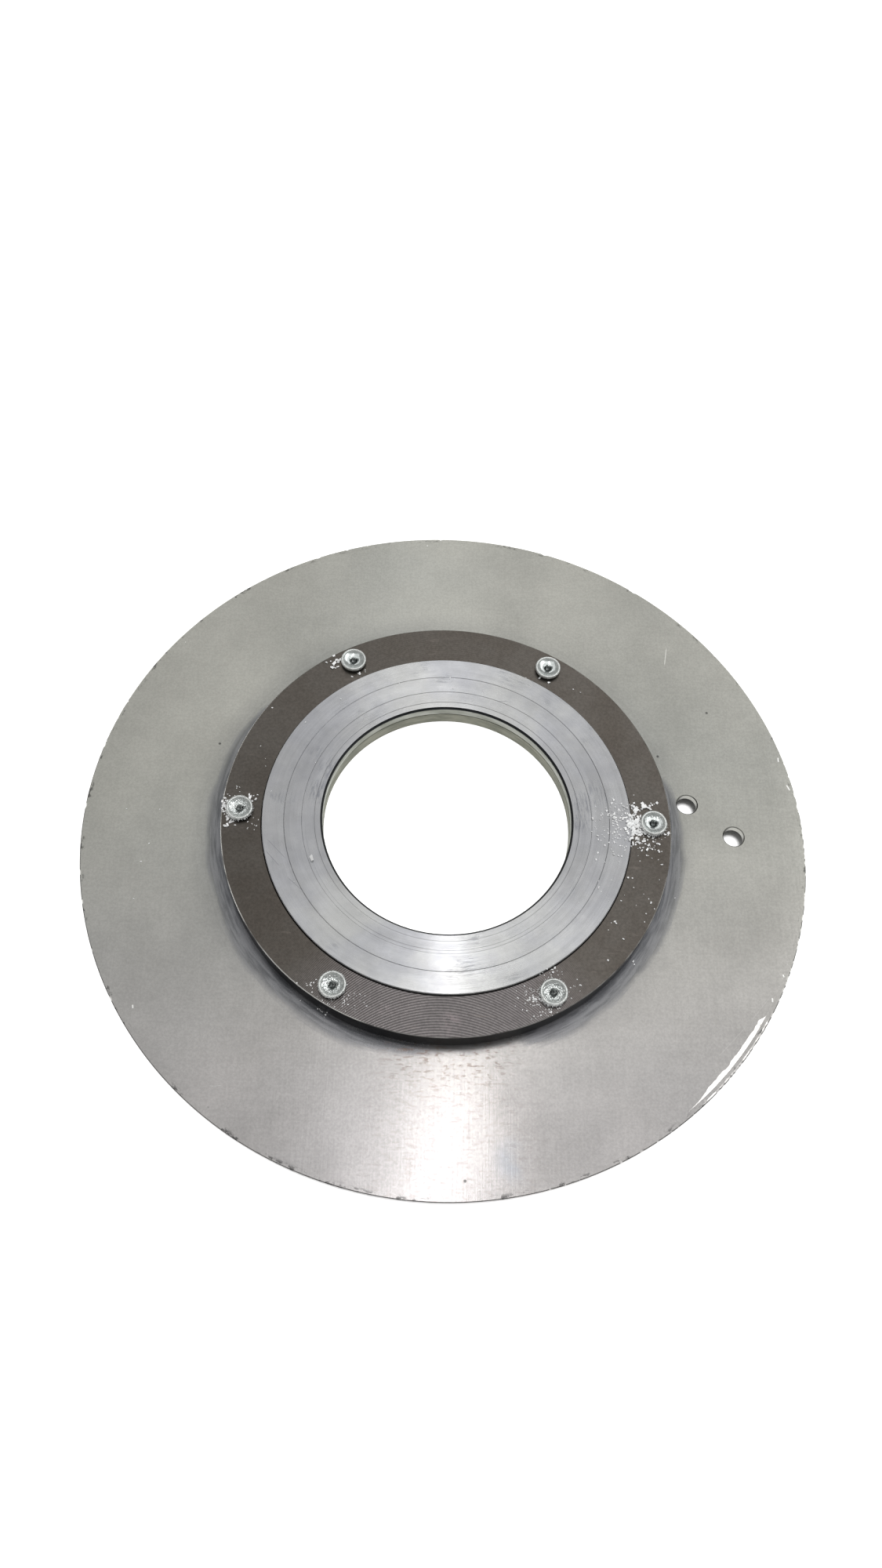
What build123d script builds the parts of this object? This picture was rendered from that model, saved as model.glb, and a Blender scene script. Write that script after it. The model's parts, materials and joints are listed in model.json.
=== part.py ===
from build123d import *
from math import cos, radians, sin
import os

# Riveted brake disc rotor: a thin steel friction disc clamped between the flange of an
# aluminium carrier and a blackened steel ring by six semi-tubular rivets.
# Millimetres. Z = 0 is the flat rear face of the carrier, the rotor's axis is Z, and +Z
# points to the front, where the rivets are rolled over. Rivet 1 lies on +X.

# friction disc
disc_diameter = 280.0
disc_thickness = 3.0
disc_edge_chamfer = 0.35

# aluminium carrier: a spigot through the disc and the clamp ring, a rear flange, a bore
spigot_diameter = 141.0
spigot_clearance = 0.12
spigot_rise = 1.2
spigot_edge_chamfer = 0.25
flange_width = 15.5
flange_thickness = 4.0
flange_edge_chamfer = 0.5
bore_diameter = 95.0
bore_front_chamfer = 0.85
bore_groove_width = 0.5
bore_groove_depth = 0.4
bore_groove_below_front = 4.0
register_step = 6.5
register_depth = 7.0
register_edge_chamfer = 0.5

# shallow turned steps in the carrier's front face, placed as shares of its width from the
# bore to the spigot's edge
lip_share = 0.13
lip_drop = 0.15
turned_groove_shares = (0.285, 0.345)
turned_groove_depth = 0.15
scribe_share = 0.635
scribe_width = 0.3
scribe_depth = 0.12

# clamp ring
clamp_width = 15.5
clamp_height = 9.0
clamp_edge_chamfer = 0.3

# rivets
rivet_count = 6
rivet_inset = 8.5
rivet_shank_diameter = 6.5
rivet_hole_clearance = 0.1
rear_head_diameter = 12.0
head_diameter = 10.2
head_base_diameter = 9.2
head_height = 2.4
head_side_height = 1.75
rim_width = 1.0
rim_inner_drop = 0.35
dish_diameter = 3.4
dish_drop = 1.25
pit_diameter = 2.5
pit_depth = 2.5

# two holes drilled through the friction disc: the share of the way from the clamp ring's edge
# to the disc's rim, and the angle from +X in degrees
spare_hole_diameter = 8.1
spare_hole_chamfer = 0.3
spare_hole_places = [(0.185, 8.3), (0.49, 0.3)]

# heights of the stacked faces
disc_rear = flange_thickness
disc_front = disc_rear + disc_thickness
clamp_front = disc_front + clamp_height
carrier_front = clamp_front + spigot_rise
bore_groove_top = carrier_front - bore_groove_below_front

# radii
disc_radius = disc_diameter / 2
spigot_radius = spigot_diameter / 2
seat_radius = spigot_radius + spigot_clearance
clamp_radius = spigot_radius + clamp_width
flange_radius = spigot_radius + flange_width
bore_radius = bore_diameter / 2
register_radius = bore_radius + register_step
face_width = spigot_radius - bore_radius
shank_radius = rivet_shank_diameter / 2
rivet_hole_radius = shank_radius + rivet_hole_clearance
rear_head_radius = rear_head_diameter / 2
head_radius = head_diameter / 2
rivet_circle_radius = spigot_radius + rivet_inset


def export(piece, name):
    """Label a finished piece and write it as its own STEP file."""
    piece.part.label = name
    export_step(piece.part, f"parts/{name}.step")


def on_circle(radius, angle):
    """The point at a radius and an angle in degrees from +X, seen from the front."""
    return (radius * cos(radians(angle)), radius * sin(radians(angle)))


def make_rivet(centre_x, centre_y):
    """A semi-tubular rivet: countersunk rear head, plain shank, rolled and dished front head."""
    section = Plane(origin=(centre_x, centre_y, 0), x_dir=(1, 0, 0), z_dir=(0, -1, 0))
    top = clamp_front + head_height
    side_top = clamp_front + head_side_height
    rim_middle = head_radius - rim_width / 2
    rim_inner = head_radius - rim_width
    dish_radius = dish_diameter / 2
    pit_radius = pit_diameter / 2
    with BuildPart() as rivet:
        with BuildSketch(section):
            with BuildLine():
                Polyline(
                    (0, top - pit_depth),
                    (0, 0),
                    (rear_head_radius, 0),
                    (shank_radius, rear_head_radius - shank_radius),
                    (shank_radius, clamp_front),
                    (head_base_diameter / 2, clamp_front),
                    (head_radius, side_top),
                )
                TangentArc((head_radius, side_top), (rim_middle, top), tangent=(0, 1))
                TangentArc((rim_middle, top), (rim_inner, top - rim_inner_drop), tangent=(-1, 0))
                dish_middle = (rim_inner + dish_radius) / 2
                dish_low = top - rim_inner_drop - 0.72 * (dish_drop - rim_inner_drop)
                ThreePointArc(
                    (rim_inner, top - rim_inner_drop),
                    (dish_middle, dish_low),
                    (dish_radius, top - dish_drop),
                )
                Polyline(
                    (dish_radius, top - dish_drop),
                    (pit_radius, top - dish_drop - (dish_radius - pit_radius)),
                    (pit_radius * 0.7, top - pit_depth + pit_radius * 0.3),
                    (0, top - pit_depth),
                )
            make_face()
        revolve(axis=Axis((centre_x, centre_y, 0), (0, 0, 1)))
    return rivet


os.makedirs("parts", exist_ok=True)

# --- friction disc -----------------------------------------------------------------
with BuildPart() as friction_disc:
    with BuildSketch(Plane.XY.offset(disc_rear)):
        Circle(disc_radius)
        Circle(seat_radius, mode=Mode.SUBTRACT)
        with PolarLocations(rivet_circle_radius, rivet_count):
            Circle(rivet_hole_radius, mode=Mode.SUBTRACT)
        for share, angle in spare_hole_places:
            with Locations(on_circle(clamp_radius + share * (disc_radius - clamp_radius), angle)):
                Circle(spare_hole_diameter / 2, mode=Mode.SUBTRACT)
    extrude(amount=disc_thickness)
    round_edges = friction_disc.edges().filter_by(GeomType.CIRCLE)
    rim_edges = round_edges.filter_by(lambda edge: abs(edge.radius - disc_radius) < 0.01)
    chamfer(rim_edges, disc_edge_chamfer)
    round_edges = friction_disc.edges().filter_by(GeomType.CIRCLE)
    hole_edges = round_edges.filter_by(lambda edge: abs(edge.radius - spare_hole_diameter / 2) < 0.01)
    chamfer(hole_edges, spare_hole_chamfer)
export(friction_disc, "friction_disc")

# --- clamp ring --------------------------------------------------------------------
with BuildPart() as clamp_ring:
    with BuildSketch(Plane.XY.offset(disc_front)):
        Circle(clamp_radius)
        Circle(seat_radius, mode=Mode.SUBTRACT)
        with PolarLocations(rivet_circle_radius, rivet_count):
            Circle(rivet_hole_radius, mode=Mode.SUBTRACT)
    extrude(amount=clamp_height)
    front_edges = clamp_ring.faces().sort_by(Axis.Z)[-1].edges()
    ring_edges = front_edges.filter_by(lambda edge: edge.radius > rivet_hole_radius + 1)
    chamfer(ring_edges, clamp_edge_chamfer)
export(clamp_ring, "clamp_ring")

# --- carrier -----------------------------------------------------------------------
lip_radius = bore_radius + lip_share * face_width
groove_inner = bore_radius + turned_groove_shares[0] * face_width
groove_outer = bore_radius + turned_groove_shares[1] * face_width
scribe_middle = bore_radius + scribe_share * face_width
lip_front = carrier_front - lip_drop
with BuildPart() as carrier:
    with BuildSketch(Plane.XZ):
        with BuildLine():
            Polyline(
                (register_radius + register_edge_chamfer, 0),
                (flange_radius - flange_edge_chamfer, 0),
                (flange_radius, flange_edge_chamfer),
                (flange_radius, flange_thickness),
                (spigot_radius, flange_thickness),
                (spigot_radius, carrier_front - spigot_edge_chamfer),
                (spigot_radius - spigot_edge_chamfer, carrier_front),
                (scribe_middle + scribe_width / 2, carrier_front),
                (scribe_middle, carrier_front - scribe_depth),
                (scribe_middle - scribe_width / 2, carrier_front),
                (groove_outer, carrier_front),
                (groove_outer - turned_groove_depth, carrier_front - turned_groove_depth),
                (groove_inner, carrier_front - turned_groove_depth),
                (groove_inner, carrier_front),
                (lip_radius + lip_drop, carrier_front),
                (lip_radius, lip_front),
                (bore_radius + bore_front_chamfer, lip_front),
                (bore_radius, lip_front - bore_front_chamfer),
                (bore_radius, bore_groove_top),
                (bore_radius + bore_groove_depth, bore_groove_top - bore_groove_width / 4),
                (bore_radius + bore_groove_depth, bore_groove_top - bore_groove_width * 3 / 4),
                (bore_radius, bore_groove_top - bore_groove_width),
                (bore_radius, register_depth),
                (register_radius, register_depth),
                (register_radius, register_edge_chamfer),
                (register_radius + register_edge_chamfer, 0),
            )
        make_face()
    revolve(axis=Axis.Z)
    with BuildSketch():
        with PolarLocations(rivet_circle_radius, rivet_count):
            Circle(rivet_hole_radius)
    extrude(amount=flange_thickness, mode=Mode.SUBTRACT)
    with PolarLocations(rivet_circle_radius, rivet_count):
        Cone(
            bottom_radius=rear_head_radius,
            top_radius=rivet_hole_radius,
            height=rear_head_radius - rivet_hole_radius,
            align=(Align.CENTER, Align.CENTER, Align.MIN),
            mode=Mode.SUBTRACT,
        )
export(carrier, "carrier")

# --- rivets ------------------------------------------------------------------------
for number in range(rivet_count):
    rivet_x, rivet_y = on_circle(rivet_circle_radius, 360 / rivet_count * number)
    rivet = make_rivet(rivet_x, rivet_y)
    export(rivet, f"rivet_{number + 1}")
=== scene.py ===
import json
import random
from math import cos, hypot, pi, radians, sin

import bpy
from mathutils import Matrix, Vector, noise


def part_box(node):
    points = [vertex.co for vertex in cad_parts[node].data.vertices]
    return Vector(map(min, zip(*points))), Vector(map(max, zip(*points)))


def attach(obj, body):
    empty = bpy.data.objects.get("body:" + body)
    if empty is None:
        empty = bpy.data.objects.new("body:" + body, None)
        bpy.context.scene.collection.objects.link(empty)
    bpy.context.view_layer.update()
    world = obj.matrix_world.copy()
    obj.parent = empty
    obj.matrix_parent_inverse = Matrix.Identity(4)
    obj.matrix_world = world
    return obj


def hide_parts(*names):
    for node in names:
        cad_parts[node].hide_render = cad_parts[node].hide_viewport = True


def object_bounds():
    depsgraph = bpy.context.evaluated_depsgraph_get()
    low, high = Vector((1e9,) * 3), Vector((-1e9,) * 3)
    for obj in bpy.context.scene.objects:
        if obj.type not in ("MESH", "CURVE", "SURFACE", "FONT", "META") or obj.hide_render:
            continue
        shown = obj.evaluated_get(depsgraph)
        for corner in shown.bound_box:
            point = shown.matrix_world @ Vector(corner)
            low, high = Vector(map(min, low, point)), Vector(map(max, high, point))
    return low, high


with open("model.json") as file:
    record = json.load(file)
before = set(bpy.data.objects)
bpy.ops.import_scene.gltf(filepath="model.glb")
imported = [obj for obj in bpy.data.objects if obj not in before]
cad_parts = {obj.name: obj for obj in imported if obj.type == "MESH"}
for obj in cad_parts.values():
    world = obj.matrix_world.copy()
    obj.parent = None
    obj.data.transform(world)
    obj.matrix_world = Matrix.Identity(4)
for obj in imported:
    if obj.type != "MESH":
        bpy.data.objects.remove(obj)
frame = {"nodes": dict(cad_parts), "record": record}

# ---------------------------------------------------------------- sizes, in metres, from the frame
MM = 0.001
AXIS = 1e-6  # as near the axis as a turned profile comes
cad_box = [list(corner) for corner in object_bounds()]
disc_low, disc_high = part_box("friction_disc")
disc_rear, disc_front = disc_low.z, disc_high.z
clamp_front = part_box("clamp_ring")[1].z
carrier_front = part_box("carrier")[1].z
mounts = {mount["name"]: mount for mount in frame["record"]["mounts"]}
bore_radius = mounts["hub_bore"]["dims"]["r_mm"] * MM
spare_holes = [mounts[name] for name in ("spare_hole_1", "spare_hole_2")]


def node_radii(node, above=-1.0):
    """The smallest and largest distance from the axis of a CAD node's points above a height."""
    points = [v.co for v in frame["nodes"][node].data.vertices if v.co.z > above]
    radii = [hypot(p.x, p.y) for p in points]
    return min(radii), max(radii)


seat_radius, disc_radius = node_radii("friction_disc")
clamp_radius = node_radii("clamp_ring")[1]
spigot_radius = node_radii("carrier", clamp_front)[1]
rivet_names = sorted(name for name in frame["nodes"] if name.startswith("rivet_"))
rivet_boxes = {name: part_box(name) for name in rivet_names}
rivet_places = {name: (low + high) / 2 for name, (low, high) in rivet_boxes.items()}
rivet_top = rivet_boxes["rivet_1"][1].z
highest_chip = rivet_top - 0.02 * MM


# ---------------------------------------------------------------- small helpers
def polar(radius, degrees):
    """A point at a distance from the axis, in a direction measured from +X."""
    return Vector((radius * cos(radians(degrees)), radius * sin(radians(degrees)), 0))


def mesh_object(name, points, faces, material, body="root"):
    """A mesh in the row frame that rides on a body."""
    mesh = bpy.data.meshes.new(name)
    mesh.from_pydata([tuple(p) for p in points], [], faces)
    mesh.validate()
    mesh.update()
    piece = bpy.data.objects.new(name, mesh)
    bpy.context.scene.collection.objects.link(piece)
    finish_piece(piece, material, body)
    return piece


def finish_piece(piece, material, body):
    """Gives a piece what is named here, and leaves alone what is None."""
    if material is not None:
        piece.data.materials.clear()
        piece.data.materials.append(material)
    if body is not None:
        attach(piece, body)


def shade(piece, sharp_degrees):
    """Smooth shading with edges over an angle left sharp."""
    for polygon in piece.data.polygons:
        polygon.use_smooth = True
    piece.data.set_sharp_from_angle(angle=radians(sharp_degrees))


def lathe(rings, steps, place=None):
    """Points and faces of a closed ring turned about Z: each ring is a function of the angle."""
    place = place or Vector((0, 0, 0))
    points = []
    for ring in rings:
        for step in range(steps):
            angle = 2 * pi * step / steps
            radius, height = ring(angle)
            points.append(place + Vector((radius * cos(angle), radius * sin(angle), height)))
    faces = []
    for row in range(len(rings)):
        here = row * steps
        there = (row + 1) % len(rings) * steps
        for step in range(steps):
            after = (step + 1) % steps
            faces.append((here + step, here + after, there + after, there + step))
    return points, faces


def flip(faces):
    """The same faces, facing the other way."""
    return [tuple(reversed(face)) for face in faces]


# ---------------------------------------------------------------- node graphs
class Graph:
    """A material's node tree, with short names for the nodes that the materials below use."""

    def __init__(self, name):
        self.material = bpy.data.materials.new(name)
        self.material.use_nodes = True
        self.tree = self.material.node_tree
        self.shader = self.tree.nodes["Principled BSDF"]
        self.position = self.node("ShaderNodeTexCoord").outputs["Object"]

    def node(self, kind, inputs=(), **settings):
        made = self.tree.nodes.new(kind)
        for key, value in settings.items():
            setattr(made, key, value)
        for key, value in dict(inputs).items():
            self.put(made.inputs[key], value)
        return made

    def put(self, socket, value):
        if isinstance(value, bpy.types.NodeSocket):
            self.tree.links.new(value, socket)
        elif value is not None:
            if isinstance(value, (tuple, list)) and len(value) == 3 and socket.type == "RGBA":
                value = (*value, 1)
            socket.default_value = value

    def set(self, **sockets):
        for key, value in sockets.items():
            self.put(self.shader.inputs[key.replace("_", " ")], value)

    def math(self, operation, a, b=None):
        made = self.node("ShaderNodeMath", operation=operation)
        self.put(made.inputs[0], a)
        self.put(made.inputs[1], b)
        return made.outputs[0]

    def ramp(self, value, low, high, to_low=0.0, to_high=1.0):
        """Maps low..high to to_low..to_high, held at both ends and smooth between."""
        made = self.node("ShaderNodeMapRange", interpolation_type="SMOOTHSTEP")
        for socket, number in zip(made.inputs[:5], (value, low, high, to_low, to_high)):
            self.put(socket, number)
        return made.outputs[0]

    def mix(self, factor, a, b, blend="MIX"):
        made = self.node("ShaderNodeMix", data_type="RGBA", blend_type=blend)
        self.put(made.inputs[0], factor)
        self.put(made.inputs[6], a)
        self.put(made.inputs[7], b)
        return made.outputs[2]

    def noise(self, vector, scale, detail=2.0, roughness=0.5):
        inputs = {"Vector": vector, "Scale": scale, "Detail": detail, "Roughness": roughness}
        return self.node("ShaderNodeTexNoise", inputs).outputs[0]

    def cells(self, vector, scale):
        return self.node("ShaderNodeTexVoronoi", {"Vector": vector, "Scale": scale})

    def stretch(self, vector, factors):
        made = self.node("ShaderNodeVectorMath", operation="MULTIPLY")
        self.put(made.inputs[0], vector)
        made.inputs[1].default_value = factors
        return made.outputs[0]

    def axes(self):
        parts = self.node("ShaderNodeSeparateXYZ", {"Vector": self.position}).outputs
        return parts[0], parts[1], parts[2]

    def vector(self, x, y, z):
        return self.node("ShaderNodeCombineXYZ", {"X": x, "Y": y, "Z": z}).outputs[0]

    def radius(self):
        x, y, _ = self.axes()
        squares = self.math("ADD", self.math("MULTIPLY", x, x), self.math("MULTIPLY", y, y))
        return self.math("SQRT", squares)

    def turned(self, along, across):
        """Coordinates that vary slowly round the axis (along) and quickly across it."""
        x, y, z = self.axes()
        radius = self.radius()
        unit_x = self.math("DIVIDE", x, radius)
        unit_y = self.math("DIVIDE", y, radius)
        slow_x = self.math("MULTIPLY", unit_x, along)
        slow_y = self.math("MULTIPLY", unit_y, along)
        return self.vector(slow_x, slow_y, self.math("MULTIPLY", self.math("ADD", radius, z), across))

    def spot(self, place, inner, outer):
        """1 within inner of a point, falling to 0 at outer."""
        away = self.node("ShaderNodeVectorMath", operation="DISTANCE")
        self.put(away.inputs[0], self.position)
        away.inputs[1].default_value = place
        return self.ramp(away.outputs["Value"], inner, outer, 1.0, 0.0)

    def strokes(self, places, width):
        """1 on straight strokes between pairs of points, falling to 0 at their width."""
        return self.most([self.stroke(start, end, width) for start, end in places])

    def stroke(self, start, end, width):
        """1 on a straight stroke between two points, falling to 0 at its width."""
        start, end = Vector(start), Vector(end)
        run = end - start
        side = Vector((-run.y, run.x, 0)).normalized()
        offset = self.node("ShaderNodeVectorMath", operation="SUBTRACT")
        self.put(offset.inputs[0], self.position)
        offset.inputs[1].default_value = start
        across = self.node("ShaderNodeVectorMath", operation="DOT_PRODUCT")
        self.put(across.inputs[0], offset.outputs[0])
        across.inputs[1].default_value = side
        along = self.node("ShaderNodeVectorMath", operation="DOT_PRODUCT")
        self.put(along.inputs[0], offset.outputs[0])
        along.inputs[1].default_value = run.normalized()
        line = self.ramp(self.math("ABSOLUTE", across.outputs["Value"]), 0.0, width, 1.0, 0.0)
        middle = self.math("SUBTRACT", along.outputs["Value"], run.length / 2)
        ends = self.ramp(self.math("ABSOLUTE", middle), run.length * 0.3, run.length / 2, 1.0, 0.0)
        return self.math("MULTIPLY", line, ends)

    def toward(self, degrees, low, high):
        """1 in one direction from the axis and 0 away from it, by the cosine of the angle between."""
        x, y, _ = self.axes()
        along = self.math("MULTIPLY", x, cos(radians(degrees)))
        along = self.math("ADD", along, self.math("MULTIPLY", y, sin(radians(degrees))))
        return self.ramp(self.math("DIVIDE", along, self.radius()), low, high)

    def product(self, *values):
        total = values[0]
        for value in values[1:]:
            total = self.math("MULTIPLY", total, value)
        return total

    def total(self, *values):
        result = values[0]
        for value in values[1:]:
            result = self.math("ADD", result, value)
        return result

    def scale(self, colour, low, high, value, value_low=0.3, value_high=0.7):
        """A colour brightened or darkened by a pattern."""
        level = self.ramp(value, value_low, value_high, low, high)
        return self.mix(1.0, colour, self.vector(level, level, level), "MULTIPLY")

    def most(self, values):
        total = values[0]
        for value in values[1:]:
            total = self.math("MAXIMUM", total, value)
        return total

    def bump(self, height, distance, strength=1.0, normal=None):
        inputs = {"Height": height, "Distance": distance, "Strength": strength, "Normal": normal}
        return self.node("ShaderNodeBump", inputs).outputs[0]


# ---------------------------------------------------------------- marks, as (start, end)
SCRATCHES = [
    (polar(119 * MM, 41), polar(127 * MM, 44)),
    (polar(128 * MM, -126.5), polar(131 * MM, -128)),
]
FAINT_SCRATCHES = [
    (polar(136.6 * MM, -27.5), polar(134.2 * MM, -33.5)),
    (polar(134.2 * MM, -33.5), polar(132.0 * MM, -42)),
]
RIM_DASHES = [
    (polar(136.8 * MM, -33.6), polar(137.4 * MM, -32.4)),
    (polar(138.0 * MM, -28.6), polar(137.2 * MM, -27.9)),
    (polar(138.4 * MM, -24.0), polar(137.6 * MM, -23.6)),
    (polar(138.6 * MM, 9.0), polar(137.8 * MM, 10.2)),
    (polar(137.9 * MM, 14.5), polar(138.5 * MM, 15.4)),
    (polar(134.0 * MM, -146.0), polar(134.6 * MM, -145.4)),
]
CARRIER_SCRATCHES = [
    (polar(69 * MM, 190), polar(63 * MM, 199)),
    (polar(70 * MM, 194), polar(66 * MM, 201)),
    (polar(65 * MM, 205), polar(62 * MM, 212)),
    (polar(68 * MM, 2), polar(62 * MM, 4.5)),
    (polar(57 * MM, 66), polar(55 * MM, 70)),
]


# ---------------------------------------------------------------- materials
def ground_steel():
    """The friction disc: satin ground steel, crossed grinding lines, clouds, pits, a band of soot and
    painted shade beside the clamp ring, and a painted tint of the window's light at -Y.
    """
    g = Graph("ground_steel")
    radius = g.radius()
    clouds = g.noise(g.position, 9, 3, 0.5)
    blotches = g.noise(g.position, 30, 5, 0.6)
    grain = g.noise(g.position, 1200, 3, 0.65)
    lengthwise = g.noise(g.stretch(g.position, (1150, 38, 1)), 1.0, 3, 0.6)
    crosswise = g.noise(g.stretch(g.position, (42, 1050, 1)), 1.0, 3, 0.6)
    base = g.mix(g.ramp(clouds, 0.35, 0.65), (0.372, 0.374, 0.345), (0.425, 0.422, 0.385))
    # painted light: the near side, towards -Y, is tinted pink-violet like the window's light
    near_light_tint = g.ramp(g.axes()[1], -0.130, 0.020, 1.0, 0.0)
    base = g.mix(near_light_tint, base, g.mix(1.0, base, (1.0, 0.968, 1.04), "MULTIPLY"))
    base = g.scale(base, 0.92, 1.06, blotches)
    base = g.scale(base, 0.93, 1.06, grain)
    base = g.scale(base, 0.985, 1.012, lengthwise)
    base = g.scale(base, 0.985, 1.012, crosswise)

    # a band beside the clamp ring, partly soot streaks and partly painted shade from the ring's wall:
    # wide at -X, narrower at +X -Y, faint at -Y, absent at +Y
    wide = g.toward(205, 0.26, 0.72)
    narrow = g.toward(-27, 0.60, 0.85)
    faint = g.math("MULTIPLY", g.toward(-90, 0.60, 0.90), 0.4)
    share = g.most([wide, narrow, faint])
    streaks = g.noise(g.turned(6.0, 800), 1.0, 5, 0.65)
    wander = g.noise(g.turned(3.0, 0), 1.0, 3, 0.6)
    rough_edge = g.math("MULTIPLY", g.math("SUBTRACT", wander, 0.5), 5 * MM)
    rough_edge = g.math("ADD", rough_edge, g.math("MULTIPLY", g.math("SUBTRACT", streaks, 0.5), 5 * MM))
    reach = g.total(g.math("MULTIPLY", share, 6.0 * MM), rough_edge, clamp_radius + 0.4 * MM)
    starts = g.math("SUBTRACT", reach, 1.4 * MM)
    soot_and_shade_reach = g.ramp(radius, starts, g.math("ADD", reach, 2.2 * MM), 1.0, 0.0)
    # painted shade: the band is darkest next to the ring's wall and fades outward
    shade_by_ring = g.ramp(radius, clamp_radius, g.math("ADD", reach, 2 * MM), 1.0, 0.72)

    # a haze of dust reaches further out, all round but at -Y
    dusty = g.ramp(radius, clamp_radius + 2 * MM, clamp_radius + 16 * MM, 1.0, 0.0)
    dustier = g.math("MULTIPLY", g.toward(232, 0.55, 0.95), 0.10)
    dustier = g.total(dustier, g.math("MULTIPLY", g.toward(150, 0.3, 0.9), 0.12), 0.22)
    dusty = g.product(dusty, dustier, g.toward(80, -0.95, -0.6))
    soot_and_shade_colour = g.mix(g.ramp(streaks, 0.35, 0.62), (0.080, 0.084, 0.094), (0.185, 0.188, 0.20))
    soot_dust_and_shade = g.product(soot_and_shade_reach, shade_by_ring, g.ramp(share, 0.0, 0.7), 0.95)
    soot_dust_and_shade = g.math("MAXIMUM", soot_dust_and_shade, dusty)
    base = g.mix(soot_dust_and_shade, base, soot_and_shade_colour)

    # rust-brown flecks in the rubbed patch at -Y, and a faint blue heat stain beside it
    flecks = g.noise(g.stretch(g.position, (260, 800, 1)), 1.0, 4, 0.7)
    near_ring = g.ramp(radius, clamp_radius + 3 * MM, clamp_radius + 22 * MM, 1.0, 0.25)
    rubbed = g.product(g.toward(-88, 0.945, 0.995), near_ring, g.ramp(flecks, 0.52, 0.62))
    base = g.mix(g.math("MULTIPLY", rubbed, 0.65), base, (0.18, 0.13, 0.105))
    heat = g.spot((0.027, -0.125, disc_front), 2 * MM, 11 * MM)
    heat = g.math("MULTIPLY", heat, g.ramp(blotches, 0.4, 0.6))
    base = g.mix(g.math("MULTIPLY", heat, 0.6), base, (0.30, 0.33, 0.37))

    # pits, small stains, scratches, and bright specks painted as glints near the rim
    pits = g.ramp(g.cells(g.position, 150).outputs["Distance"], 0.035, 0.07, 1.0, 0.0)
    few = g.ramp(g.noise(g.position, 60, 1), 0.58, 0.68)
    rim = g.ramp(radius, disc_radius - 10 * MM, disc_radius - 1 * MM, 0.2, 1.0)
    pits = g.product(pits, few, rim)
    spots = [polar(91.5 * MM, 22.5), polar(133 * MM, -86), polar(120 * MM, 28), polar(97 * MM, 160)]
    stains = g.most([g.spot((p.x, p.y, disc_front), 0.3 * MM, 0.7 * MM) for p in spots])
    edge_dirt = g.product(g.ramp(radius, disc_radius - 2.2 * MM, disc_radius - 0.5 * MM),
                          g.ramp(g.noise(g.turned(24.0, 400), 1.0, 4, 0.7), 0.56, 0.64))
    base = g.mix(g.math("MULTIPLY", g.most([pits, stains, edge_dirt]), 0.8), base, (0.05, 0.05, 0.05))
    specks = g.cells(g.stretch(g.position, (1, 1.02, 1)), 170).outputs["Distance"]
    glints = g.ramp(specks, 0.03, 0.055, 1.0, 0.0)
    glints = g.product(glints, g.ramp(g.noise(g.position, 47, 1), 0.58, 0.66), rim)
    scratch = g.strokes(SCRATCHES, 0.22 * MM)
    dashes = g.strokes(RIM_DASHES, 0.45 * MM)
    faint = g.strokes(FAINT_SCRATCHES, 0.16 * MM)
    marks = g.most([g.math("MULTIPLY", glints, 0.75), g.math("MULTIPLY", scratch, 0.3), dashes])
    marks = g.math("MAXIMUM", marks, g.math("MULTIPLY", faint, 0.12))
    base = g.mix(marks, base, (0.90, 0.90, 0.88))

    rough = g.ramp(lengthwise, 0.25, 0.75, 0.160, 0.200)
    rough = g.math("ADD", rough, g.math("MULTIPLY", g.math("SUBTRACT", crosswise, 0.5), 0.05))
    rough = g.math("ADD", rough, g.math("MULTIPLY", g.math("SUBTRACT", blotches, 0.5), 0.10))
    rough = g.math("ADD", rough, g.math("MULTIPLY", soot_dust_and_shade, 0.12))
    normal = g.bump(g.math("ADD", lengthwise, g.math("MULTIPLY", crosswise, 0.9)), 0.00002, 0.45)
    normal = g.bump(g.math("SUBTRACT", 1.0, g.most([pits, scratch])), 0.00004, 0.7, normal)
    g.set(Base_Color=base, Metallic=1.0, Roughness=rough, Normal=normal)
    return g.material


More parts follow.
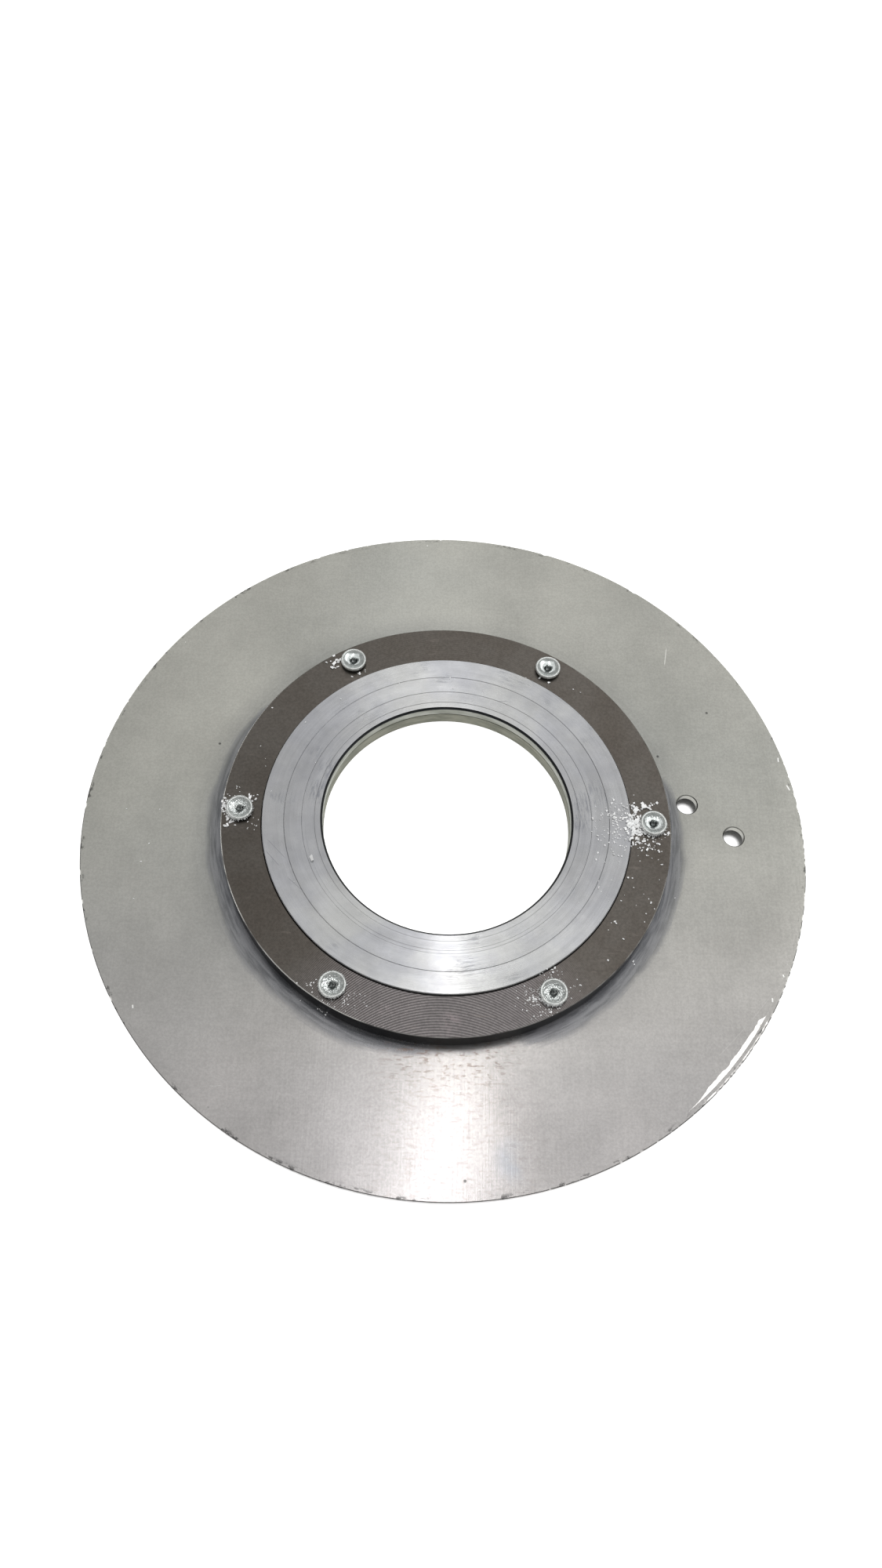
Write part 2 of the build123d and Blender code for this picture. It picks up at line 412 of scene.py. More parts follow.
def blackened_steel():
    """The clamp ring: brown-black steel with arcs left by a face cutter, worn at its edges with a
    painted edge highlight, painted lighter towards -Y, +X and +Y and darker towards -X, and a side wall
    painted in shade.
    """
    g = Graph("blackened_steel")
    x, y, z = g.axes()
    radius = g.radius()
    blotches = g.noise(g.position, 45, 4, 0.6)
    grain = g.noise(g.position, 1100, 3, 0.65)
    base = g.mix(g.ramp(blotches, 0.3, 0.7), (0.080, 0.070, 0.059), (0.100, 0.091, 0.080))
    # painted highlight: the ring is painted lighter towards -Y, where the window's light falls on it
    near_highlight = g.math("ADD", g.math("MULTIPLY", g.toward(-90, 0.72, 0.97), 0.88), 0.12)
    base = g.mix(g.math("MULTIPLY", near_highlight, 0.75), base, (0.150, 0.140, 0.143))
    # painted light: the ring is painted darker towards -X and lighter towards +X and +Y, as the room's
    # light falls on it
    base = g.scale(base, 0.92, 1.08, x, -clamp_radius, clamp_radius)
    base = g.scale(base, 1.0, 1.20, y, -0.12 * clamp_radius, 0.6 * clamp_radius)
    base = g.scale(base, 0.88, 1.14, grain)

    # cutter arcs: one curved line moved on along Y, a line to each millimetre
    share = g.math("DIVIDE", x, clamp_radius * 1.03)
    root = g.math("SQRT", g.math("SUBTRACT", 1.0, g.math("MULTIPLY", share, share)))
    phase = g.math("SUBTRACT", y, g.math("MULTIPLY", root, 2.1 * clamp_radius))
    uneven = g.math("MULTIPLY", g.noise(g.position, 35, 1), 0.8 * MM)
    arcs = g.math("SINE", g.math("MULTIPLY", g.math("ADD", phase, uneven), 2 * pi / (1.0 * MM)))
    on_top = g.ramp(z, clamp_front - 0.2 * MM, clamp_front - 0.05 * MM)
    # the arcs' colour shows only on the top face and in the painted highlight towards -Y
    arcs = g.product(arcs, on_top, near_highlight)
    base = g.scale(base, 0.72, 1.30, arcs, -1.0, 1.0)

    # edges worn bright with a painted edge highlight, strongest towards -X, rubbed marks, and two
    # pinkish smears where the cutter's arcs show in the painted highlight towards -Y
    edge_wear_and_highlight = g.ramp(radius, clamp_radius - 0.42 * MM, clamp_radius - 0.2 * MM)
    edge_wear_and_highlight = g.math("MULTIPLY", edge_wear_and_highlight, g.ramp(z, clamp_front - 0.5 * MM, clamp_front - 0.25 * MM))
    edge_wear_and_highlight = g.math("MULTIPLY", edge_wear_and_highlight, g.ramp(g.noise(g.position, 90, 3), 0.38, 0.55, 0.2, 1.0))
    edge_wear_and_highlight = g.math("MULTIPLY", edge_wear_and_highlight, g.math("MAXIMUM", g.toward(200, 0.3, 0.7), 0.35))
    rubs = g.ramp(g.noise(g.stretch(g.position, (60, 240, 60)), 1.0, 5, 0.7), 0.60, 0.74)
    # wear and painted highlight: a bright line on the ring's outer edge
    base = g.mix(edge_wear_and_highlight, base, (0.80, 0.79, 0.76))
    base = g.mix(g.math("MULTIPLY", rubs, 0.35), base, (0.22, 0.19, 0.17))
    torn = g.ramp(g.noise(g.position, 420, 4, 0.7), 0.42, 0.60)
    smears = g.most([g.spot((-0.0206, -0.0765, clamp_front), 0.5 * MM, 2.6 * MM),
                     g.spot((0.0030, -0.0800, clamp_front), 1.0 * MM, 5.0 * MM)])
    base = g.mix(g.product(smears, torn, 0.6), base, (0.235, 0.20, 0.205))

    # painted shade: the side wall is painted darker than the face
    wall = g.ramp(z, clamp_front - 0.5 * MM, clamp_front - 0.3 * MM, 1.0, 0.0)
    base = g.mix(g.math("MULTIPLY", wall, 0.8), base, (0.016, 0.017, 0.021))
    rough = g.math("ADD", g.ramp(blotches, 0.3, 0.7, 0.27, 0.35), g.math("MULTIPLY", wall, 0.1))
    normal = g.bump(arcs, 0.00002, 0.9)
    normal = g.bump(grain, 0.000012, 0.6, normal)
    g.set(Base_Color=base, Metallic=1.0, Roughness=rough, Normal=normal)
    return g.material


def turned_aluminium():
    """The carrier: bright turned aluminium with tool lines round its axis, smears, sides painted in
    shade and a dull bore painted in shade.
    """
    g = Graph("turned_aluminium")
    x, y, z = g.axes()
    radius = g.radius()
    lines = g.noise(g.turned(1.6, 1500), 1.0, 4, 0.65)
    bands = g.noise(g.turned(0.9, 210), 1.0, 3, 0.55)
    haze = g.noise(g.position, 38, 5, 0.6)
    base = g.mix(g.ramp(haze, 0.35, 0.65), (0.455, 0.462, 0.482), (0.530, 0.533, 0.528))
    # painted shade: the carrier is painted darker towards -X and +X, where its turned face mirrors the
    # room's dimmer sides
    side_shade = g.math("MAXIMUM", g.toward(172, 0.55, 1.0), g.toward(-4, 0.6, 1.0))
    base = g.mix(g.math("MULTIPLY", side_shade, 0.55), base, (0.29, 0.292, 0.31))
    base = g.scale(base, 0.95, 1.04, lines)
    base = g.scale(base, 0.93, 1.06, bands)
    base = g.scale(base, 0.94, 1.05, g.noise(g.position, 130, 3, 0.6))

    # smears: dark streaks round the axis beside the bore, and thin scattered ones elsewhere
    streaks = g.ramp(g.noise(g.turned(9.0, 1300), 1.0, 5, 0.7), 0.45, 0.62)
    patches = g.ramp(g.noise(g.position, 60, 3), 0.56, 0.68, 0.0, 0.6)
    by_bore = [polar(50.5 * MM, 0), polar(52 * MM, 8), polar(49.5 * MM, 158), polar(50 * MM, 170)]
    smudges = g.most([g.spot((p.x, p.y, carrier_front), 1.5 * MM, 7 * MM) for p in by_bore])
    smears = g.math("MULTIPLY", streaks, g.math("MAXIMUM", patches, smudges))
    base = g.mix(g.math("MULTIPLY", smears, 0.6), base, (0.19, 0.20, 0.235))
    scratch = g.strokes(CARRIER_SCRATCHES, 0.16 * MM)
    base = g.mix(g.math("MULTIPLY", scratch, 0.7), base, (0.20, 0.20, 0.22))

    # the bore is dull and painted darker as shade, darker still below its groove, and the chamfer at
    # its front edge is painted dark as shade
    in_bore = g.ramp(radius, bore_radius + 0.45 * MM, bore_radius + 0.6 * MM, 1.0, 0.0)
    below = g.ramp(z, carrier_front - 4.4 * MM, carrier_front - 4.2 * MM, 1.0, 0.0)
    wiped = g.ramp(g.noise(g.turned(4.0, 300), 1.0, 4, 0.6), 0.35, 0.65)
    land = g.mix(wiped, (0.30, 0.31, 0.27), (0.44, 0.45, 0.41))
    lower_land = g.mix(wiped, (0.18, 0.185, 0.15), (0.28, 0.28, 0.23))
    base = g.mix(in_bore, base, g.mix(below, land, lower_land))
    chamfer_in = g.ramp(radius, bore_radius + 0.82 * MM, bore_radius + 0.87 * MM, 1.0, 0.0)
    chamfer_top = g.ramp(z, carrier_front - 0.92 * MM, carrier_front - 0.86 * MM)
    base = g.mix(g.math("MULTIPLY", chamfer_in, chamfer_top), base, (0.03, 0.032, 0.034))

    rough = g.ramp(lines, 0.3, 0.7, 0.20, 0.27)
    rough = g.math("ADD", rough, g.math("MULTIPLY", g.math("SUBTRACT", haze, 0.5), 0.12))
    rough = g.math("ADD", rough, g.math("MULTIPLY", smears, 0.12))
    rough = g.math("ADD", rough, g.math("MULTIPLY", in_bore, 0.2))
    normal = g.bump(g.math("ADD", lines, bands), 0.00001, 0.7)
    tangent = g.node("ShaderNodeTangent", direction_type="RADIAL", axis="Z").outputs[0]
    g.set(Base_Color=base, Metallic=1.0, Roughness=rough, Normal=normal)
    g.set(Anisotropic=0.95, Anisotropic_Rotation=0.25, Tangent=tangent)
    return g.material


def rivet_rim():
    """The rolled rim and side of a rivet head: frosted bright metal, with painted shade low on its
    side.
    """
    g = Graph("rivet_rim")
    _, _, z = g.axes()
    grain = g.noise(g.position, 2300, 3, 0.7)
    haze = g.noise(g.position, 420, 3, 0.6)
    base = g.mix(g.ramp(haze, 0.35, 0.65), (0.80, 0.83, 0.81), (0.93, 0.95, 0.93))
    base = g.scale(base, 0.70, 1.05, grain)
    # painted shade under the head's overhang, low on its side
    low = g.ramp(z, clamp_front + 0.8 * MM, clamp_front + 1.5 * MM, 1.0, 0.0)
    base = g.mix(g.math("MULTIPLY", low, 0.85), base, (0.05, 0.055, 0.055))
    normal = g.bump(grain, 0.00002, 0.6)
    g.set(Base_Color=base, Metallic=0.75, Roughness=g.ramp(haze, 0.3, 0.7, 0.34, 0.48), Normal=normal)
    return g.material


def rivet_dish(name, speckle):
    """The dish inside a rivet head: polished, with painted dark reflections blotched towards its pit, a
    pit painted in shade, speckled where torn.
    """
    g = Graph(name)
    radius = g.radius()
    blotch = g.noise(g.position, 620, 4, 0.7)
    base = g.mix(g.ramp(blotch, 0.35, 0.65), (0.62, 0.66, 0.65), (0.86, 0.90, 0.89))
    # painted reflection: dark blotches towards the pit stand in for what the mirror-like dish reflects
    centre = g.ramp(radius, 1.2 * MM, 3.2 * MM, 1.0, 0.0)
    dark_reflection = g.ramp(g.math("ADD", blotch, g.math("MULTIPLY", centre, 0.2)), 0.60, 0.68)
    base = g.mix(g.math("MULTIPLY", dark_reflection, 0.9), base, (0.075, 0.085, 0.085))
    if speckle:
        crumbs = g.noise(g.position, 1900, 3, 0.75)
        base = g.mix(g.ramp(crumbs, 0.52, 0.60), base, (0.95, 0.97, 0.95))
        base = g.mix(g.ramp(crumbs, 0.36, 0.44, 0.85, 0.0), base, (0.12, 0.135, 0.125))
    # painted shade: the pit is painted dark
    pit = g.math("MULTIPLY", g.ramp(radius, 0.9 * MM, 1.4 * MM, 1.0, 0.0), g.ramp(blotch, 0.58, 0.48))
    base = g.mix(g.math("MULTIPLY", pit, 0.7), base, (0.06, 0.065, 0.065))
    rough = g.ramp(blotch, 0.3, 0.7, 0.13, 0.24)
    g.set(Base_Color=base, Metallic=1.0, Roughness=rough, Normal=g.bump(blotch, 0.00002, 0.5))
    return g.material


def swarf_metal():
    """Aluminium chips: bright and frosted, with a faint painted glow."""
    g = Graph("swarf_metal")
    haze = g.noise(g.position, 1500, 2, 0.6)
    base = g.mix(g.ramp(haze, 0.3, 0.7), (0.88, 0.90, 0.90), (0.97, 0.97, 0.97))
    g.set(Base_Color=base, Metallic=0.25, Roughness=g.ramp(haze, 0.3, 0.7, 0.3, 0.5))
    # painted light: a faint glow, though the chips are no lamp
    g.set(Emission_Color=(1, 1, 1), Emission_Strength=0.12)
    return g.material


def floor_paint():
    """The pale floor: white paper that glows evenly, with a painted shadow under the disc and painted
    pools of light under its two holes.
    """
    g = Graph("white_floor")
    radius = g.radius()
    # painted shadow: the floor's glow is off under the disc, but for painted pools of light beneath its
    # holes
    inside = g.ramp(radius, bore_radius + 9 * MM, bore_radius + 14 * MM, 1.0, 0.0)
    outside = g.ramp(radius, disc_radius - 6 * MM, disc_radius - 1 * MM)
    light_pools = [g.spot((m["pos_m"][0], m["pos_m"][1], 0), 2.6 * MM, 4.4 * MM) for m in spare_holes]
    unshadowed_floor = g.most([inside, outside, *light_pools])
    g.set(Base_Color=(0.9, 0.9, 0.9), Roughness=0.9, Emission_Color=(1, 1, 1))
    g.set(Emission_Strength=g.math("MULTIPLY", unshadowed_floor, 0.9))
    return g.material


# ---------------------------------------------------------------- the friction disc
DISC_STEPS = 2880
DISC_CHAMFER = 0.22 * MM
RIM_NICKS = 90
WORN_FROM, WORN_TO = -44.0, -32.5
STRIPE_OUTER = disc_radius - 2.0 * MM
STRIPE_WIDTH = 1.45 * MM
STRIPE_SLOPE = 0.0865
LIP_RADIUS = disc_radius - 0.8 * MM


def window(angle, low, high, soft):
    """1 between two angles in degrees, falling smoothly to 0 over the soft width outside them."""
    degrees = (angle * 180 / pi + 180) % 360 - 180
    outside = max(low - degrees, degrees - high, 0)
    share = min(outside / soft, 1)
    return 1 - share * share * (3 - 2 * share)


def wear(angle):
    """How far the stripe inside the rim is worn: blunt at WORN_TO, tapering past WORN_FROM."""
    return window(angle, WORN_FROM, 90, 7) * window(angle, -90, WORN_TO, 1.5)


def stripe_inner(angle):
    """The worn stripe's ragged inner edge."""
    slow = noise.noise(Vector((cos(angle), sin(angle), 0)) * 28)
    quick = noise.noise(Vector((cos(angle), sin(angle), 1)) * 110)
    jagged = (0.9 * slow + 0.25 * quick) * MM
    return STRIPE_OUTER - (STRIPE_WIDTH - 0.75 * jagged) * wear(angle) - 0.02 * MM


def stripe_drop(angle):
    return STRIPE_SLOPE * (STRIPE_OUTER - stripe_inner(angle))


def rim_nicks():
    """Small knocks in the rim's front edge: (angle, half width as an angle, depth)."""
    draw = random.Random(11)
    nicks = []
    for _ in range(RIM_NICKS):
        crowded = draw.random() < 0.6
        degrees = draw.uniform(-75, 15) if crowded else draw.uniform(-180, 180)
        half_width = draw.uniform(0.25, 1.3) * MM / disc_radius
        nicks.append((radians(degrees), half_width, draw.uniform(0.05, 0.3) * MM))
    return nicks


def nick_depths():
    """The depth of the knocks at each step round the rim, with a fine unevenness between them."""
    nicks = rim_nicks()
    depths = []
    for step in range(DISC_STEPS):
        angle = 2 * pi * step / DISC_STEPS
        depth = 0.0
        for at, half_width, deep in nicks:
            away = abs((angle - at + pi) % (2 * pi) - pi)
            if away < half_width:
                depth = max(depth, deep * (1 - (away / half_width) ** 2))
        uneven = noise.noise(Vector((cos(angle), sin(angle), 0)) * 90)
        depths.append(depth + 0.012 * MM * uneven)
    return depths


def disc_rings():
    """The disc's section, from its seat on the spigot over the front, rim and rear."""
    depths = nick_depths()

    def nick(angle):
        return depths[round(angle * DISC_STEPS / (2 * pi)) % DISC_STEPS]

    def front_edge(angle):
        radius = disc_radius - DISC_CHAMFER - 0.1 * MM - max(nick(angle), 0)
        return radius, disc_front - stripe_drop(angle) - 0.05 * MM * wear(angle)

    def rim_edge(angle):
        height = disc_front - DISC_CHAMFER - 1.6 * nick(angle) - 0.15 * MM * wear(angle)
        return disc_radius - 0.2 * max(nick(angle), 0), height

    return [
        lambda a: (seat_radius, disc_front),
        lambda a: (clamp_radius - 2 * MM, disc_front),
        lambda a: (disc_radius - 8 * MM, disc_front),
        lambda a: (stripe_inner(a), disc_front),
        lambda a: (STRIPE_OUTER, disc_front - stripe_drop(a)),
        lambda a: (LIP_RADIUS, disc_front - stripe_drop(a)),
        front_edge,
        rim_edge,
        lambda a: (disc_radius, disc_rear + DISC_CHAMFER),
        lambda a: (disc_radius - DISC_CHAMFER, disc_rear),
        lambda a: (seat_radius, disc_rear),
    ]


def hole_cutter(mount):
    """A pin the size of a drilled hole, flared where it leaves the disc's faces."""
    bore = mount["dims"]["r_mm"] * MM
    flare = 0.3 * MM
    past = 1 * MM
    profile = [
        (AXIS, disc_front + past),
        (bore + flare + past, disc_front + past),
        (bore, disc_front - flare),
        (bore, disc_rear + flare),
        (bore + flare + past, disc_rear - past),
        (AXIS, disc_rear - past),
    ]
    place = Vector((mount["pos_m"][0], mount["pos_m"][1], 0))
    points, faces = lathe([lambda a, r=r, z=z: (r, z) for r, z in profile], 96, place)
    return mesh_object("hole_cutter", points, flip(faces), None, None)


def cut_away(piece, cutters):
    """Cuts solids out of a piece for good, and removes them."""
    for cutter in cutters:
        cut = piece.modifiers.new("hole", "BOOLEAN")
        cut.operation = "DIFFERENCE"
        cut.solver = "EXACT"
        cut.object = cutter
    whole = piece.evaluated_get(bpy.context.evaluated_depsgraph_get())
    cut_mesh = bpy.data.meshes.new_from_object(whole)
    piece.modifiers.clear()
    piece.data = cut_mesh
    for cutter in cutters:
        bpy.data.objects.remove(cutter)


def friction_disc(material):
    """The disc with knocked rim, a worn sloping stripe inside the rim, and its two drilled holes."""
    points, faces = lathe(disc_rings(), DISC_STEPS)
    plate = mesh_object("disc_plate", points, flip(faces), material, None)
    cut_away(plate, [hole_cutter(mount) for mount in spare_holes])
    finish_piece(plate, material, "root")
    shade(plate, 3)
    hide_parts("friction_disc")


# ---------------------------------------------------------------- rivets
def rivet_profile():
    """(radius, height) along the rivet, from its rear face round to the bottom of the pit."""
    low, high = rivet_boxes["rivet_1"]
    rear_radius = (high.x - low.x) / 2
    shank = 3.25 * MM
    head = 5.1 * MM
    base = 4.6 * MM
    rim_width = 1.0 * MM
    rim_drop = 0.35 * MM
    side_top = clamp_front + 1.75 * MM
    profile = [
        (AXIS, 0.0),
        (rear_radius - 0.05 * MM, 0.0),
        (rear_radius, 0.04 * MM),
        (shank, rear_radius - shank),
        (shank, clamp_front),
        (base, clamp_front),
    ]
    for step in range(1, 7):
        share = step / 6
        bulge = 0.12 * MM * sin(pi * share)
        height = clamp_front + (side_top - clamp_front) * share
        profile.append((base + (head - base) * share + bulge, height))
    middle = head - rim_width / 2
    for step in range(1, 11):
        turn = pi * step / 10
        rise = rivet_top - side_top if turn < pi / 2 else rim_drop
        floor = side_top if turn < pi / 2 else rivet_top - rim_drop
        profile.append((middle + rim_width / 2 * cos(turn), floor + rise * sin(turn)))
    cup_edge = head - rim_width
    dish = 1.7 * MM
    dish_drop = 1.25 * MM
    for step in range(1, 17):
        share = step / 16
        drop = rim_drop + (dish_drop - rim_drop) * sin(share * pi / 2) ** 0.9
        profile.append((cup_edge + (dish - cup_edge) * share, rivet_top - drop))
    pit_lip = dish - 0.45 * MM
    pit_depth = 2.45 * MM
    profile.append((pit_lip, rivet_top - dish_drop - 0.3 * MM))
    profile.append((pit_lip - 0.1 * MM, rivet_top - dish_drop - 0.7 * MM))
    profile.append((pit_lip * 0.6, rivet_top - pit_depth + 0.2 * MM))
    profile.append((AXIS, rivet_top - pit_depth))
    return profile


def rivet(name, materials, coarse, seed):
    """A rivet turned from its profile; coarse gives its rolled head a torn, sugary surface."""
    steps = 160
    cup_radius = 4.1 * MM
    polished_radius = 4.0 * MM
    profile = rivet_profile()
    rings = [lambda a, r=r, z=z: (r, z) for r, z in profile]
    points, faces = lathe(rings, steps)
    shift = Vector((seed * 7.3, seed * 3.1, 0))
    for index, point in enumerate(points):
        radius, height = profile[index // steps]
        if height <= clamp_front + 0.1 * MM or radius < 0.1 * MM:
            continue
        out = Vector((point.x, point.y, 0)).normalized()
        wobble = noise.noise(point * 260 + shift)
        torn = noise.noise(point * 2300 + shift) + 0.6 * noise.noise(point * 4600 - shift)
        level = 0.05 * wobble + coarse * (0.17 * torn - 0.03)
        outward = Vector((0, 0, 1)) if radius < cup_radius else Vector((out.x, out.y, 0.4))
        move = outward * level * MM
        moved = point + move
        moved.z = min(moved.z, rivet_top)
        points[index] = moved
    piece = mesh_object("rolled_" + name, points, flip(faces), None, None)
    rim, dish = materials
    piece.data.materials.append(rim)
    piece.data.materials.append(dish)
    for polygon in piece.data.polygons:
        inside = hypot(polygon.center.x, polygon.center.y) < polished_radius
        polygon.material_index = 1 if inside and polygon.center.z > clamp_front else 0
    shade(piece, 50)
    centre = rivet_places[name]
    piece.location = (centre.x, centre.y, 0)
    finish_piece(piece, None, "root")
    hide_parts(name)


def burrs(name, seed, material, sectors):
    """Needles torn out of a rolled head's side: each sector is (middle, spread, count, longest)."""
    draw = random.Random(seed)
    centre = rivet_places[name]
    root_radius = 4.75  # in millimetres
    points, faces = [], []
    for middle, spread, count, longest in sectors:
        for _ in range(count):
            angle = radians(draw.gauss(middle, spread))
            out = Vector((cos(angle), sin(angle), 0))
            side = Vector((-out.y, out.x, 0))
            up = Vector((0, 0, 1))
            height = draw.uniform(0.7, 2.1) * MM
            root = Vector((centre.x, centre.y, clamp_front + height)) + out * root_radius * MM
            length = longest * draw.uniform(0.35, 1.0) + 0.3 * MM
            half = draw.uniform(0.06, 0.15) * MM
            tip = root + out * length + side * draw.gauss(0, 0.35) * length
            tip += up * draw.gauss(-0.15, 0.3) * length
            tip.z = min(tip.z, highest_chip)
            first = len(points)
            points += [root + side * half, root - side * half, root + up * half * 1.6, tip]
            faces += [(first, first + 1, first + 2), (first, first + 3, first + 1)]
            faces += [(first + 1, first + 3, first + 2), (first + 2, first + 3, first)]
    mesh_object("burrs_" + name, points, faces, material, "root")


# ---------------------------------------------------------------- swarf
def surface_height(radius):
    """The height of whatever lies at a distance from the axis, seen from the front."""
    if radius < spigot_radius:
        return carrier_front
    return clamp_front if radius < clamp_radius else disc_front


def chip(draw, place, size):
    """A closed crumb of metal: a lumpy eight-cornered solid lying on what is under it."""
    turn = Matrix.Rotation(draw.uniform(0, 2 * pi), 3, "Z")
    turn = turn @ Matrix.Rotation(draw.uniform(-0.5, 0.5), 3, "X")
    length = size * draw.uniform(0.8, 1.6)
    width = size * draw.uniform(0.5, 1.0)
    thick = size * draw.uniform(0.3, 0.7)
    corners = []
    for sign_z in (-1, 1):
        for sign_x, sign_y in ((-1, -1), (1, -1), (1, 1), (-1, 1)):
            corner = Vector((sign_x * length, sign_y * width, sign_z * thick)) / 2
            corner *= draw.uniform(0.55, 1.1)
            corners.append(turn @ corner)
    lowest = min(corner.z for corner in corners)
    lift = Vector((0, 0, -lowest))
    return [place + corner + lift for corner in corners]


BORE_CLEAR = 1.5 * MM
RIVET_CLEAR = 4.7 * MM
CHIP_FACES = [(0, 3, 2, 1), (4, 5, 6, 7), (0, 1, 5, 4), (1, 2, 6, 5), (2, 3, 7, 6), (3, 0, 4, 7)]


def swarf(name, seed, material, drifts):
    """A scatter of chips: each drift is (place, spread, spread across, count, smallest, largest)."""
    draw = random.Random(seed)
    points, faces = [], []
    for place, spread, across, count, smallest, largest in drifts:
        heading = Vector((place.x, place.y, 0)).normalized()
        side = Vector((-heading.y, heading.x, 0))
        for _ in range(count):
            at = place + heading * draw.gauss(0, spread) + side * draw.gauss(0, across)
            radius = hypot(at.x, at.y)
            to_rivet = min(hypot(at.x - c.x, at.y - c.y) for c in rivet_places.values())
            if radius < bore_radius + BORE_CLEAR or to_rivet < RIVET_CLEAR:
                continue
            size = smallest + (largest - smallest) * draw.random() ** 2
            corners = chip(draw, Vector((at.x, at.y, surface_height(radius))), size)
            for corner in corners:
                corner.z = min(corner.z, highest_chip)
            first = len(points)
            points.extend(corners)
            faces.extend(tuple(first + corner for corner in face) for face in CHIP_FACES)
    mesh_object(name, points, faces, material, "root")


def beside(name, degrees, distance):
    """A point on the face beside a rivet, in a direction measured from +X."""
    centre = rivet_places[name]
    return Vector((centre.x, centre.y, 0)) + polar(distance, degrees)


def all_swarf(material):
    """Drifts beside each rivet, the largest to the left of rivet 1, and loose chips elsewhere."""
    fine, coarse = 0.3 * MM, 1.0 * MM
    swarf("swarf_1", 21, material, [
        (beside("rivet_1", 186, 7.2 * MM), 2.0 * MM, 2.9 * MM, 220, 0.4 * MM, 1.2 * MM),
        (beside("rivet_1", 180, 14.5 * MM), 4.5 * MM, 5.5 * MM, 130, 0.35 * MM, 0.9 * MM),
        (beside("rivet_1", 108, 8 * MM), 2.4 * MM, 1.6 * MM, 16, 0.6 * MM, 1.5 * MM),
        (beside("rivet_1", 258, 8.5 * MM), 3.0 * MM, 3.2 * MM, 60, fine, 0.9 * MM),
        (beside("rivet_1", 325, 6.3 * MM), 0.5 * MM, 0.5 * MM, 4, 0.5 * MM, 1.1 * MM),
    ])
    swarf("swarf_2", 22, material, [
        (beside("rivet_2", 268, 5.9 * MM), 0.4 * MM, 2.2 * MM, 5, 0.4 * MM, 0.8 * MM),
        (beside("rivet_2", 320, 13 * MM), 1.5 * MM, 2.0 * MM, 2, 0.4 * MM, 0.7 * MM),
    ])
    swarf("swarf_3", 23, material, [
        (beside("rivet_3", 186, 7.6 * MM), 1.4 * MM, 1.2 * MM, 14, 0.6 * MM, 1.3 * MM),
        (beside("rivet_3", 170, 5.2 * MM), 0.2 * MM, 0.7 * MM, 7, 0.9 * MM, 1.4 * MM),
        (beside("rivet_3", 285, 6.2 * MM), 0.4 * MM, 2.2 * MM, 6, 0.4 * MM, 0.8 * MM),
    ])
    swarf("swarf_4", 24, material, [
        (beside("rivet_4", 160, 6.2 * MM), 0.9 * MM, 2.2 * MM, 40, 0.4 * MM, coarse),
        (beside("rivet_4", 52, 6.6 * MM), 0.9 * MM, 1.3 * MM, 11, 0.5 * MM, coarse),
        (beside("rivet_4", 232, 7.0 * MM), 1.4 * MM, 1.4 * MM, 16, 0.5 * MM, 1.2 * MM),
        (beside("rivet_4", 310, 9.0 * MM), 2.0 * MM, 2.0 * MM, 9, fine, 0.6 * MM),
        (beside("rivet_4", 100, 8.0 * MM), 1.5 * MM, 2.0 * MM, 6, fine, 0.6 * MM),
    ])
    swarf("swarf_5", 25, material, [
        (beside("rivet_5", 322, 7.5 * MM), 2.2 * MM, 3.0 * MM, 50, 0.25 * MM, 0.5 * MM),
        (beside("rivet_5", 175, 7.5 * MM), 1.8 * MM, 2.2 * MM, 16, fine, 0.8 * MM),
        (beside("rivet_5", 240, 6.8 * MM), 1.0 * MM, 2.0 * MM, 16, 0.25 * MM, 0.6 * MM),
    ])
    swarf("swarf_6", 26, material, [
        (beside("rivet_6", 195, 7.5 * MM), 2.0 * MM, 2.8 * MM, 60, fine, 0.8 * MM),
        (beside("rivet_6", 95, 7.5 * MM), 1.6 * MM, 2.6 * MM, 26, fine, 0.8 * MM),
        (beside("rivet_6", 255, 7.2 * MM), 1.2 * MM, 2.4 * MM, 30, fine, 0.6 * MM),
        (beside("rivet_6", 20, 8.0 * MM), 1.6 * MM, 2.0 * MM, 10, fine, 0.7 * MM),
    ])
    swarf("swarf_loose", 27, material, [
        (polar(66 * MM, -12), 5 * MM, 12 * MM, 30, fine, 0.8 * MM),
        (polar(79 * MM, -20), 4 * MM, 16 * MM, 22, fine, 0.8 * MM),
        (polar(60 * MM, 180), 8 * MM, 20 * MM, 10, fine, 0.6 * MM),
        (polar(54 * MM, -158.5), 0.1 * MM, 0.1 * MM, 1, 1.6 * MM, 1.8 * MM),
        (polar(118 * MM, 178), 8 * MM, 30 * MM, 5, fine, 0.6 * MM),
        (polar(60 * MM, 90), 5 * MM, 30 * MM, 8, fine, 0.5 * MM),
    ])


# ---------------------------------------------------------------- stage, light and camera
def build_stage():
    """A wide floor in the plane of the lowest CAD face."""
    half = 3.0
    level = cad_box[0][2]
    mesh = bpy.data.meshes.new("floor")
    corners = [(-half, -half, level), (half, -half, level), (half, half, level), (-half, half, level)]
    mesh.from_pydata(corners, [], [(0, 1, 2, 3)])
    floor = bpy.data.objects.new("floor", mesh)
    bpy.context.scene.collection.objects.link(floor)
    floor.data.materials.append(floor_paint())


def panel(name, place, width, depth, radiance, colour=(1, 1, 1), shape="RECTANGLE", turn=0):
    """A soft light of a given brightness, facing straight down, turned by degrees about Z."""
    light = bpy.data.lights.new(name, "AREA")
    light.shape = shape
    light.size = width
    light.size_y = depth
    area = width * depth * (pi / 4 if shape == "ELLIPSE" else 1)
    light.energy = radiance * area * 4
    light.color = colour
    lamp = bpy.data.objects.new(name, light)
    lamp.location = place
    lamp.rotation_euler.z = radians(turn)
    bpy.context.scene.collection.objects.link(lamp)


